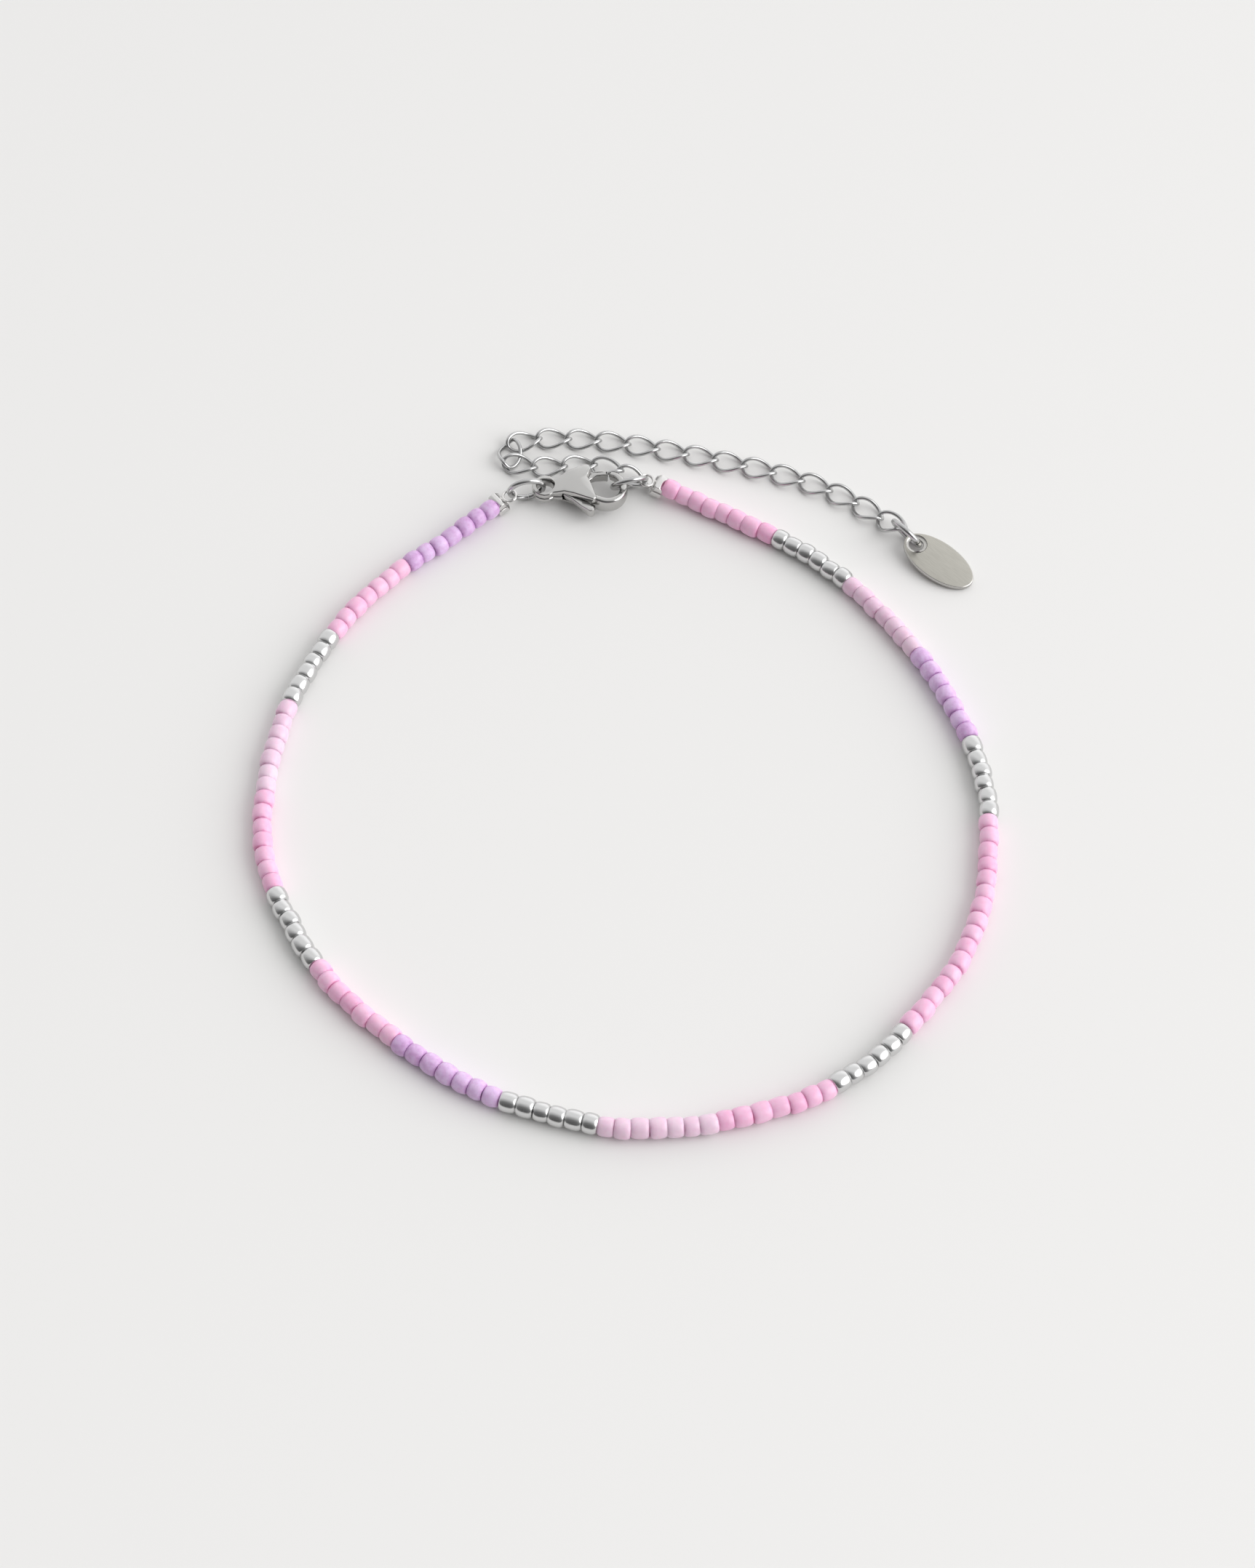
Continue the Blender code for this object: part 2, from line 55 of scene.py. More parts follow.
# Sections of the strand, from the right crimp
SECTIONS = (
    # colour, beads
    ("pink", 8), ("silver", 6), ("light_pink", 7), ("lilac", 7), ("silver", 6), ("pink", 16),
    ("silver", 6), ("pink", 7), ("light_pink", 7), ("silver", 6), ("lilac", 7), ("pink", 7),
    ("silver", 6), ("pink", 7), ("light_pink", 7), ("silver", 6), ("pink", 7), ("lilac", 7),
)

# Each colour's beads: mean length on the thread and press into the next bead, both in mm, and
# squareness of the wall's section, where 2 is an oval
BEAD_KINDS = {
    # colour: length, press, squareness
    "pink": (1.65, 0.12, 2.4),
    "silver": (1.6, 0.04, 2.35),
    "light_pink": (1.6, 0.12, 2.45),
    "lilac": (1.7, 0.04, 2.0),
}
BEAD_RADIUS = 1.0 * MM
BEAD_HOLE = 0.3 * MM
BEAD_SIDES = 28
BEAD_PROFILE = 18

# How beads differ: shares of their size and length, shift off the thread, turns in degrees, tone
# from deep to light, and the share of the tone taken off at a bead's ends, painted shade for the creases
# between beads
BEAD_SEED = 4
BEAD_SIZE_SPREAD = 0.04
BEAD_LENGTH_SPREAD = 0.12
BEAD_SHIFT = 0.09 * MM
BEAD_TILT = 3.0
BEAD_NOD = 2.0
BEAD_TONES = (0.45, 0.85)
# Painted shade: the beads' ends are darkened where they meet in creases
BEAD_END_SHADE = 0.85
THREAD_RADIUS = 0.3 * MM
THREAD_SIDES = 8

# Route of the strand, in mm in its own plan, and that plan's place in the model
STRING_ROUTE = (
    (7.6, 35.8), (15.3, 31.3), (20.6, 27.4), (25.2, 22.5), (29.0, 17.1), (32.2, 11.3),
    (34.6, 5.0), (35.7, -1.4), (35.5, -8.1), (34.4, -14.6), (31.9, -20.7), (28.0, -26.2),
    (23.6, -31.1), (18.2, -34.9), (12.0, -37.2), (5.6, -38.5), (-1.0, -38.7), (-7.5, -37.2),
    (-13.7, -34.9), (-19.3, -31.3), (-24.5, -27.1), (-29.0, -22.3), (-32.5, -16.6), (-35.1, -10.6),
    (-36.1, -4.1), (-35.8, 2.6), (-34.4, 9.0), (-32.0, 15.2), (-28.7, 21.0), (-24.5, 26.1),
    (-19.4, 30.5),
)
PLAN_SHIFT = Vector((0.19, -3.29, 0.0)) * MM

# Wire of the chain's links and of the jump rings, with a link's twist and a ring's cut in degrees
LINK_PITCH = 3.2 * MM
LINK_WIDTH = 2.7 * MM
LINK_WIRE = 0.4 * MM
WIRE_GAP = 0.06 * MM
LINK_TWIST = 45.0
LINK_SEGMENTS = 56
RING_DIAMETER = 4.2 * MM
RING_WIRE = 0.6 * MM
RING_CUT = 3.0
RING_SEGMENTS = 72
WIRE_SIDES = 14

# Crimps, each a strip of sheet folded over the strand's end, with a wire loop. Their turns are a
# heading and a pitch in degrees.
CRIMP_TURNS = {"crimp_left": (217.0, -9.0), "crimp_right": (-22.0, -13.0)}
CRIMP_LENGTH = 1.35 * MM
CRIMP_WIDTH = 1.9 * MM
CRIMP_HEIGHT = 1.7 * MM
CRIMP_SLIT = 0.16 * MM
CRIMP_SLIT_DEPTH = 0.3 * MM
CRIMP_ROUND = 0.1 * MM
CRIMP_LOOP_DIAMETER = 1.75 * MM
CRIMP_LOOP_WIRE = 0.32 * MM
CRIMP_LOOP_SEGMENTS = 48
CRIMP_ROOF = (
    # along, as a share of the length, and height, as a share from half way up to the top
    (-0.5, 0.1), (-0.1, 1.0), (0.18, 1.0), (0.5, 0.72),
)

# Corners of a crimp's solid nearest the strand, whose middle is the strand's end
CRIMP_END_CORNERS = 24

# Lobster clasp, measured from the middle of its eye
EYE_DIAMETER = 2.8 * MM
EYE_HOLE = 1.7 * MM
EYE_THICKNESS = 1.3 * MM
NECK_WIDTH = 1.9 * MM
HUB_LENGTH = 5.4 * MM
HUB_WIDTH = 4.8 * MM
HUB_THICKNESS = 2.2 * MM
HOOK_REACH = 2.9 * MM
HOOK_WIDTH = 3.9 * MM
CLAW_WIDTH = 0.85 * MM
CLAW_THICKNESS = 1.8 * MM
LEVER_THICKNESS = 0.8 * MM
LEVER_RADIUS = 2.05 * MM
SLIDE_GAP = 0.1 * MM
TAB_REACH = 3.6 * MM
TAB_TIP = 0.9 * MM
GATE_REACH = 3.1 * MM
GATE_WIDTH = 0.6 * MM
PIVOT = Vector((0.65 * HUB_LENGTH, 0.08 * HUB_WIDTH, 0.0))

# Hub's outline from the eye round its near side, as shares of its length and width
HUB_OUTLINE = (
    # along, across
    (0.37, -0.215), (0.59, -0.31), (0.80, -0.41), (0.94, -0.47), (1.00, -0.43), (1.01, -0.36),
    (0.97, -0.21), (0.91, 0.00), (0.83, 0.20), (0.87, 0.32), (0.90, 0.43), (0.86, 0.52),
    (0.78, 0.54), (0.63, 0.48), (0.44, 0.39), (0.31, 0.28),
)

# Claw's centreline from the hub's end, as shares of the hook's reach and width, with its width
# and thickness as shares of the claw's own, and the middle of the hook's opening
CLAW_SECTIONS = (
    # along, across, width, thickness
    (-0.073, -0.41, 1.00, 1.00),
    (0.113, -0.49, 1.05, 1.06),
    (0.370, -0.54, 1.00, 1.00),
    (0.657, -0.50, 1.00, 0.98),
    (0.886, -0.35, 1.00, 0.94),
    (1.000, -0.09, 1.00, 0.88),
    (0.928, 0.19, 0.95, 0.78),
    (0.742, 0.38, 0.86, 0.66),
    (0.528, 0.46, 0.72, 0.54),
)
CLAW_MIDDLE = 0.43
CLAW_SIDES = 28
CLAW_TIP_STEPS = 3
CLAW_TIP_STEP = CLAW_WIDTH * 0.06
CLAW_TIP_SHRINK = 0.8

# Rims of cast and stamped plates from their middle up: height as a share of half the thickness,
# and inset in mm
PLATE_RIM = (
    # height, inset
    (0.00, 0.12), (0.10, 0.09), (0.18, 0.02), (0.28, 0.0), (0.66, 0.0), (0.80, 0.02),
    (0.92, 0.06), (0.98, 0.11), (1.00, 0.16),
)
LEVER_RIM = ((0.0, 0.0), (0.55, 0.0), (0.8, 0.03), (0.94, 0.09), (1.0, 0.2))
TAG_RIM = ((0.0, 0.0), (0.5, 0.0), (0.8, 0.03), (0.94, 0.08), (1.0, 0.16))

# Crown of the clasp's plate over its rim: height as above, and share of the way in to the spine
CLASP_CROWN = (
    # height, share
    (1.05, 0.25), (1.09, 0.5), (1.115, 0.75), (1.12, 0.92),
)

# Tag, its turn a heading and a pitch in degrees
TAG_TURN = (-40.6, -6.0)
TAG_LENGTH = 8.6 * MM
TAG_WIDTH = 4.6 * MM
TAG_THICKNESS = 0.5 * MM
TAG_HOLE = 1.6 * MM
TAG_HOLE_INSET = 0.55 * MM
TAG_DISH = 2.3 * MM
TAG_DISH_DEPTH = 0.2 * MM
TAG_DISH_STEPS = 6
TAG_SIDES = 128

# Glass beads' colours and finish
GLASS_LOOKS = {
    # colour: light, deep, painted crease shade, roughness, mottle, coat
    "pink": ((0.93, 0.58, 0.77), (0.90, 0.47, 0.69), (0.78, 0.28, 0.50), 0.34, 0.3, 0.3),
    "light_pink": ((0.88, 0.67, 0.80), (0.84, 0.58, 0.74), (0.68, 0.38, 0.54), 0.32, 0.3, 0.3),
    "lilac": ((0.79, 0.58, 0.86), (0.66, 0.40, 0.70), (0.50, 0.26, 0.54), 0.38, 0.45, 0.2),
}
THREAD_COLOURS = ((0.62, 0.58, 0.6), (0.8, 0.78, 0.8))
SATIN_COLOURS = ((0.44, 0.427, 0.387), (0.50, 0.487, 0.443))
SATIN_HEADING = 44.0

# Stage: the floor just under the part, one broad lamp and a studio sky
FLOOR_SIZE = 4.0
FLOOR_DROP = 0.02 * MM
FLOOR_COLOUR = (0.865, 0.858, 0.848)
KEY_PLACE = Vector((1.5, -0.35, 0.9))
KEY_SIZE = 2.0
KEY_POWER = 23.0
WORLD_STRENGTH = 1.5
BRIGHT_SIDE = (0.42, 0.9, 0.0)
SKY_GREYS = (
    # share of the way to the bright side, grey
    (0.0, 0.06), (0.22, 0.14), (0.4, 0.42), (0.55, 0.62), (0.8, 0.64), (0.92, 0.85), (1.0, 0.95),
)


def add_object(name, data, at=None):
    made = bpy.data.objects.new(name, data)
    bpy.context.scene.collection.objects.link(made)
    if at is not None:
        made.matrix_world = at
    return made


def put(made, body, slot, *stands_for):
    """Sets a piece on its body, in place of the nodes that it stands for. The slot is not used."""
    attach(made, body)
    if stands_for:
        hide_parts(*stands_for)
    return made


def unit(heading):
    """Level vector of length 1 along a heading in degrees."""
    return Vector((math.cos(math.radians(heading)), math.sin(math.radians(heading)), 0.0))


def squared(value, power):
    """The value's size raised to the power, with its sign kept."""
    return math.copysign(abs(value) ** power, value)


def smooth_curve(points, steps=16):
    """Points on the Catmull-Rom curve through the given ones."""
    ends = [2 * points[0] - points[1], *points, 2 * points[-1] - points[-2]]
    found = []
    for i in range(len(points) - 1):
        a, b, c, d = ends[i:i + 4]
        for k in range(steps):
            t = k / steps
            found.append(
                0.5 * (2 * b + (c - a) * t + (2 * a - 5 * b + 4 * c - d) * t**2
                       + (3 * b - a - 3 * c + d) * t**3)
            )
    found.append(points[-1].copy())
    return found


def closed_mesh(name, shape):
    """A mesh from the edit shape, its faces turned outwards."""
    bmesh.ops.recalc_face_normals(shape, faces=shape.faces)
    mesh = bpy.data.meshes.new(name)
    shape.to_mesh(mesh)
    shape.free()
    return mesh


def finish_edges(mesh, angle=35):
    """Smooth shading, with the edges sharper than this angle kept sharp."""
    mesh.shade_smooth()
    mesh.set_sharp_from_angle(angle=math.radians(angle))


def bridge(shape, first, second):
    """A band of faces between two loops of corners."""
    for k in range(len(first)):
        n = (k + 1) % len(first)
        shape.faces.new((first[k], first[n], second[n], second[k]))


def tube_mesh(name, centres, outwards, section, closed):
    """Mesh swept along the centres. At each one a section's pairs lie along outward and across."""
    shape = bmesh.new()
    loops = []
    for i, centre in enumerate(centres):
        after = centres[(i + 1) % len(centres)] if closed else centres[min(i + 1, len(centres) - 1)]
        before = centres[i - 1] if closed or i else centres[0]
        along = (after - before).normalized()
        out = outwards[i] - outwards[i].dot(along) * along
        out.normalize()
        across = along.cross(out)
        loops.append([shape.verts.new(centre + u * out + v * across) for u, v in section(i)])
    for i in range(len(loops) if closed else len(loops) - 1):
        bridge(shape, loops[i], loops[(i + 1) % len(loops)])
    if not closed:
        shape.faces.new(loops[0][::-1])
        shape.faces.new(loops[-1])
    mesh = closed_mesh(name, shape)
    finish_edges(mesh, 50)
    return mesh


def round_section(radius, sides):
    """Pairs round a circle, for tube_mesh."""
    turn = 2 * math.pi / sides
    return [(radius * math.cos(k * turn), radius * math.sin(k * turn)) for k in range(sides)]


def node_points(name):
    """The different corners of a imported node, as an array."""
    mesh = frame["nodes"][name].data
    flat = np.empty(len(mesh.vertices) * 3)
    mesh.vertices.foreach_get("co", flat)
    return np.unique(flat.reshape(-1, 3).round(7), axis=0)


def principal_pose(name):
    """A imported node's own axes, the longest along X and the shortest along Z, and its middle."""
    points = node_points(name)
    _, axes = np.linalg.eigh(np.cov((points - points.mean(0)).T))
    along = Vector(axes[:, 2])
    across = Vector(axes[:, 1])
    turned = points @ axes
    middle = axes @ ((turned.min(0) + turned.max(0)) / 2)
    turn = Matrix((along, across, along.cross(across))).transposed().to_4x4()
    return Matrix.Translation(Vector(middle)) @ turn


def node_pose(name, heading, pitch):
    """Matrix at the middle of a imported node's box, turned to its heading with its nose up."""
    turn = Matrix.Rotation(math.radians(heading), 4, "Z") @ Matrix.Rotation(math.radians(-pitch), 4, "Y")
    turned = node_points(name) @ np.array(turn.to_3x3())
    middle = Vector((turned.min(0) + turned.max(0)) / 2)
    return Matrix.Translation(turn @ middle) @ turn


def arc(centre, radius, start, end, count):
    """Points on an arc from one angle to another, in degrees."""
    step = (end - start) / count
    return [centre + radius * unit(start + step * k) for k in range(count + 1)]


def closed_curve(corners, steps, gap=0.3 * MM):
    """Points on the closed Catmull-Rom curve through the given ones, its long sides kept straight."""
    points = []
    for i, corner in enumerate(corners):
        after = corners[(i + 1) % len(corners)]
        count = max(1, round((after - corner).length / gap))
        points += [corner.lerp(after, k / count) for k in range(count)]
    ends = [points[-2], points[-1], *points, points[0], points[1], points[2]]
    return smooth_curve(ends, steps)[2 * steps:-2 * steps - 1]


def inset(outline, distance):
    """The outline drawn in by a distance. It runs anticlockwise."""
    found = []
    for i, point in enumerate(outline):
        way = (outline[(i + 1) % len(outline)] - outline[i - 1]).normalized()
        found.append(point + distance * Vector((-way.y, way.x, 0.0)))
    return found


def loft_mesh(name, loops):
    """Closed skin through the loops, from the lowest to the highest."""
    shape = bmesh.new()
    rings = [[shape.verts.new(place) for place in loop] for loop in loops]
    for first, second in zip(rings, rings[1:]):
        bridge(shape, first, second)
    shape.faces.new(rings[0][::-1])
    shape.faces.new(rings[-1])
    return closed_mesh(name, shape)


def plate_mesh(name, outline, rim, half_thickness, crown=(), spine=None):
    """A plate over this outline, the same above and below, with the rim's rows of height and inset.

    The crown's rows of height and share close in on the spine above the rim.
    """
    upper = [(height, inset(outline, drawn_in * MM)) for height, drawn_in in rim]
    edge = upper[-1][1]
    upper += [(height, [p.lerp(spine(p), share) for p in edge]) for height, share in crown]
    rows = [(-height, loop) for height, loop in upper[:0:-1]] + upper
    loops = [[Vector((p.x, p.y, height * half_thickness(p))) for p in loop] for height, loop in rows]
    return loft_mesh(name, loops)


def turned_mesh(name, profile, sides=48):
    """A turned body about Z, closed at both ends, through pairs of radius and height."""
    last = 360 - 360 / sides
    return loft_mesh(name, [arc(Vector((0, 0, z)), r, 0, last, sides - 1) for r, z in profile])


def combine(made, other, operation):
    """Cuts the other mesh out of this object, or joins it, and keeps the result."""
    tool = add_object(other.name, other)
    change = made.modifiers.new(other.name, "BOOLEAN")
    change.operation = operation
    change.object = tool
    change.material_mode = "TRANSFER"
    graph = bpy.context.evaluated_depsgraph_get()
    result = bpy.data.meshes.new_from_object(made.evaluated_get(graph))
    made.modifiers.clear()
    made.data = result
    bpy.data.objects.remove(tool)


# Materials

def new_material(name):
    made = bpy.data.materials.new(name)
    made.use_nodes = True
    nodes = made.node_tree.nodes
    return made, nodes, made.node_tree.links, nodes["Principled BSDF"]


def noise_node(nodes, links, scale, detail=3.0, roughness=0.5):
    place = nodes.new("ShaderNodeTexCoord")
    texture = nodes.new("ShaderNodeTexNoise")
    texture.inputs["Scale"].default_value = scale
    texture.inputs["Detail"].default_value = detail
    texture.inputs["Roughness"].default_value = roughness
    links.new(place.outputs["Object"], texture.inputs["Vector"])
    return texture


def ramp_node(nodes, links, source, stops):
    ramp = nodes.new("ShaderNodeValToRGB")
    ramp.color_ramp.elements[0].position = stops[0][0]
    ramp.color_ramp.elements[0].color = (*stops[0][1], 1.0)
    ramp.color_ramp.elements[1].position = stops[-1][0]
    ramp.color_ramp.elements[1].color = (*stops[-1][1], 1.0)
    for position, colour in stops[1:-1]:
        stop = ramp.color_ramp.elements.new(position)
        stop.color = (*colour, 1.0)
    links.new(source, ramp.inputs["Fac"])
    return ramp


def bump_node(nodes, links, height, strength, distance):
    bump = nodes.new("ShaderNodeBump")
    bump.inputs["Strength"].default_value = strength
    bump.inputs["Distance"].default_value = distance
    links.new(height, bump.inputs["Height"])
    return bump


def bead_material(name, light, deep, crease_shade, roughness, mottle, coat):
    """Opaque glass with a cloudy mottle. Each bead has its own tone, and shade is painted in towards its
    ends, where beads meet.
    """
    made, nodes, links, shader = new_material(name)
    # The tone attribute holds each bead's tone, darkened towards its ends as painted shade
    tone = nodes.new("ShaderNodeAttribute")
    tone.attribute_name = "tone"
    cloud = noise_node(nodes, links, 1700.0, 3.0, 0.6)
    spread = nodes.new("ShaderNodeMapRange")
    spread.inputs["From Min"].default_value = 0.35
    spread.inputs["From Max"].default_value = 0.65
    spread.inputs["To Min"].default_value = -mottle / 2
    spread.inputs["To Max"].default_value = mottle / 2
    links.new(cloud.outputs["Fac"], spread.inputs["Value"])
    mixed = nodes.new("ShaderNodeMath")
    links.new(spread.outputs["Result"], mixed.inputs[0])
    links.new(tone.outputs["Fac"], mixed.inputs[1])
    # Painted shade: low values, at the beads' ends, take the crease shade colour
    ramp = ramp_node(nodes, links, mixed.outputs[0], [(0.0, crease_shade), (0.35, deep), (0.9, light)])
    links.new(ramp.outputs["Color"], shader.inputs["Base Color"])
    grain = noise_node(nodes, links, 5200.0, 2.0)
    bump = bump_node(nodes, links, grain.outputs["Fac"], 0.12, 0.02 * MM)
    links.new(bump.outputs["Normal"], shader.inputs["Normal"])
    shader.inputs["Roughness"].default_value = roughness
    shader.inputs["Coat Weight"].default_value = coat
    shader.inputs["Coat Roughness"].default_value = 0.25
    shader.inputs["Subsurface Weight"].default_value = 0.4
    shader.inputs["Subsurface Radius"].default_value = (1.0, 0.55, 0.8)
    shader.inputs["Subsurface Scale"].default_value = 0.35 * MM
    return made


def metal_material(name, colour, roughness, wear, scale=500.0):
    """Polished metal with faint ripples and a little wear in its roughness."""
    made, nodes, links, shader = new_material(name)
    shader.inputs["Base Color"].default_value = (*colour, 1.0)
    shader.inputs["Metallic"].default_value = 1.0
    cloud = noise_node(nodes, links, scale, 4.0)
    spread = nodes.new("ShaderNodeMapRange")
    spread.inputs["To Min"].default_value = roughness
    spread.inputs["To Max"].default_value = roughness + wear
    links.new(cloud.outputs["Fac"], spread.inputs["Value"])
    links.new(spread.outputs["Result"], shader.inputs["Roughness"])
    bump = bump_node(nodes, links, cloud.outputs["Fac"], 0.1, 0.02 * MM)
    links.new(bump.outputs["Normal"], shader.inputs["Normal"])
    return made


def satin_material():
    """Brushed warm grey metal, its lines along the tag."""
    made, nodes, links, shader = new_material("satin_steel")
    place = nodes.new("ShaderNodeTexCoord")
    stretch = nodes.new("ShaderNodeMapping")
    stretch.inputs["Rotation"].default_value = (0.0, 0.0, math.radians(SATIN_HEADING))
    stretch.inputs["Scale"].default_value = (900.0, 9000.0, 3000.0)
    lines = nodes.new("ShaderNodeTexNoise")
    lines.inputs["Scale"].default_value = 1.0
    lines.inputs["Detail"].default_value = 4.0
    links.new(place.outputs["Object"], stretch.inputs["Vector"])
    links.new(stretch.outputs["Vector"], lines.inputs["Vector"])
    ramp = ramp_node(nodes, links, lines.outputs["Fac"], list(zip((0.3, 0.7), SATIN_COLOURS)))
    links.new(ramp.outputs["Color"], shader.inputs["Base Color"])
    shader.inputs["Metallic"].default_value = 1.0
    shader.inputs["Roughness"].default_value = 0.38
    bump = bump_node(nodes, links, lines.outputs["Fac"], 0.15, 0.01 * MM)
    links.new(bump.outputs["Normal"], shader.inputs["Normal"])
    return made


BEAD_MATERIALS = {colour: bead_material("bead_" + colour, *look) for colour, look in GLASS_LOOKS.items()}
BEAD_MATERIALS["silver"] = metal_material("bead_silver", (0.66, 0.66, 0.66), 0.16, 0.12)
STEEL = metal_material("polished_steel", (0.74, 0.73, 0.72), 0.1, 0.08)
CLASP_STEEL = metal_material("clasp_steel", (0.52, 0.515, 0.505), 0.14, 0.1)
RIM_STEEL = metal_material("rim_steel", (0.52, 0.51, 0.49), 0.2, 0.1)
CHAIN_STEEL = metal_material("chain_steel", (0.5, 0.5, 0.5), 0.16, 0.1)
SATIN = satin_material()


# Beads

def bead_profile(radius, length, squareness):
    """Pairs of distance along the bead and radius, round its wall."""
    middle = (radius + BEAD_HOLE) / 2
    power = 2 / squareness
    pairs = []
    for k in range(BEAD_PROFILE):
        t = 2 * math.pi * k / BEAD_PROFILE
        pairs.append((
            length / 2 * squared(math.cos(t), power),
            middle + (radius - BEAD_HOLE) / 2 * squared(math.sin(t), power),
        ))
    return pairs


def add_bead(shape, tones_with_end_shade, at, radius, length, squareness, tone):
    loops = []
    for along, out in bead_profile(radius, length, squareness):
        ring = []
        for k in range(BEAD_SIDES):
            turn = 2 * math.pi * k / BEAD_SIDES
            ring.append(shape.verts.new(at @ Vector((along, out * math.cos(turn), out * math.sin(turn)))))
        loops.append(ring)
        # Painted shade: the tone drops towards the bead's ends, where it meets the next bead
        tones_with_end_shade.extend([tone * (1 - BEAD_END_SHADE * (2 * abs(along) / length) ** 4)] * BEAD_SIDES)
    for i, first in enumerate(loops):
        second = loops[(i + 1) % len(loops)]
        for k in range(BEAD_SIDES):
            n = (k + 1) % BEAD_SIDES
            shape.faces.new((first[k], second[k], second[n], first[n]))


def strand_path():
    """The strand's centreline, from the right crimp to the left one."""
    route = [Vector((x * MM, y * MM, BEAD_RADIUS)) + PLAN_SHIFT for x, y in STRING_ROUTE]
    ends = []
    for crimp, near in (("crimp_right", route[0]), ("crimp_left", route[-1])):
        corners = sorted(node_points(crimp), key=lambda p: (Vector(p) - near).length)
        ends.append(Vector(np.mean(corners[:CRIMP_END_CORNERS], axis=0)))
    path = smooth_curve([ends[0], *route, ends[1]])
    for place in path:
        place.z = max(place.z, BEAD_RADIUS)
    return path


class Path:
    """Points on a line by their distance from its start."""

    def __init__(self, points):
        self.points = points
        self.lengths = [0.0]
        for before, after in zip(points, points[1:]):
            self.lengths.append(self.lengths[-1] + (after - before).length)

    def at(self, distance):
        k = min(np.searchsorted(self.lengths, distance), len(self.points) - 1)
        k = max(1, k)
        share = (distance - self.lengths[k - 1]) / (self.lengths[k] - self.lengths[k - 1])
        place = self.points[k - 1].lerp(self.points[k], share)
        return place, (self.points[k] - self.points[k - 1]).normalized()


def build_beads():
    """All beads as one mesh for each colour, and the path that they lie on."""
    path = Path(strand_path())
    total = sum(count * BEAD_KINDS[colour][0] for colour, count in SECTIONS) * MM
    scale = path.lengths[-1] / total
    picker = random.Random(BEAD_SEED)
    shapes = {colour: (bmesh.new(), []) for colour in BEAD_KINDS}
    start = 0.0
    for colour, count in SECTIONS:
        mean_length, press, squareness = BEAD_KINDS[colour]
        parts = [1 + picker.uniform(-1, 1) * BEAD_LENGTH_SPREAD for _ in range(count)]
        unit_length = count * mean_length * MM * scale / sum(parts)
        shape, tones_with_end_shade = shapes[colour]
        for part in parts:
            bead_length = part * unit_length
            place, along = path.at(start + bead_length / 2)
            radius = BEAD_RADIUS * (1 + picker.uniform(-1, 1) * BEAD_SIZE_SPREAD)
            side = along.cross(Vector((0, 0, 1))).normalized()
            place = place + side * picker.uniform(-1, 1) * BEAD_SHIFT
            place.z += radius - BEAD_RADIUS
            turn = along.to_track_quat("X", "Z").to_matrix().to_4x4()
            tilt = Matrix.Rotation(math.radians(picker.gauss(0, BEAD_TILT)), 4, "Z")
            nod = Matrix.Rotation(math.radians(picker.gauss(0, BEAD_NOD)), 4, "Y")
            at = Matrix.Translation(place) @ turn @ tilt @ nod
            tone = picker.uniform(*BEAD_TONES)
            add_bead(shape, tones_with_end_shade, at, radius, bead_length + press * MM, squareness, tone)
            start += bead_length
    made = []
    for colour, (shape, tones_with_end_shade) in shapes.items():
        mesh = closed_mesh("beads_" + colour, shape)
        mesh.shade_smooth()
        # Stores the tones, with their painted shade at the bead ends, for the glass materials
        mesh.attributes.new("tone", "FLOAT", "POINT").data.foreach_set("value", tones_with_end_shade)
        mesh.materials.append(BEAD_MATERIALS[colour])
        beads = add_object("beads_" + colour, mesh)
        made.append(put(beads, "anklet", "beads", "bead_string"))
    return path


def build_thread(path):
    points = path.points[::4] + [path.points[-1]]
    section = round_section(THREAD_RADIUS, THREAD_SIDES)
    upwards = [Vector((0, 0, 1))] * len(points)
    mesh = tube_mesh("thread", points, upwards, lambda i: section, closed=False)
    made, nodes, links, shader = new_material("thread")
    twist = noise_node(nodes, links, 3000.0)
    ramp = ramp_node(nodes, links, twist.outputs["Fac"], list(zip((0.3, 0.7), THREAD_COLOURS)))
    links.new(ramp.outputs["Color"], shader.inputs["Base Color"])
    shader.inputs["Roughness"].default_value = 0.5
    mesh.materials.append(made)
    put(add_object("thread", mesh), "anklet", "beads")


# Chain and rings

def link_mesh():
    """One twisted oval link along X, its two ends turned opposite ways about X."""
    half_long = (LINK_PITCH + LINK_WIRE + WIRE_GAP) / 2
    half_wide = (LINK_WIDTH - LINK_WIRE) / 2
    centres = []
    for i in range(LINK_SEGMENTS):
        t = 2 * math.pi * i / LINK_SEGMENTS
        twist = math.radians(-LINK_TWIST * math.cos(t))
        side = half_wide * math.sin(t)
        centres.append(Vector((half_long * math.cos(t), side * math.cos(twist), side * math.sin(twist))))
    section = round_section(LINK_WIRE / 2, WIRE_SIDES)
    return tube_mesh("link", centres, centres, lambda i: section, closed=True)


def build_links():
    mesh = link_mesh()
    mesh.materials.append(CHAIN_STEEL)
    for name in sorted(n for n in frame["nodes"] if n.startswith("link_")):
        put(add_object("chain_" + name, mesh.copy(), principal_pose(name)), "anklet", "bright_steel", name)


def build_ring(name):
    """A jump ring bent from wire, its two ends almost closed."""
    radius = (RING_DIAMETER - RING_WIRE) / 2
    span = 360 - RING_CUT
    centres = [radius * unit(RING_CUT / 2 + span * i / RING_SEGMENTS) for i in range(RING_SEGMENTS + 1)]
    section = round_section(RING_WIRE / 2, WIRE_SIDES + 2)
    mesh = tube_mesh(name, centres, centres, lambda i: section, closed=False)
    mesh.materials.append(CHAIN_STEEL)
    put(add_object("wire_" + name, mesh, principal_pose(name)), "anklet", "bright_steel", name)


# Crimps

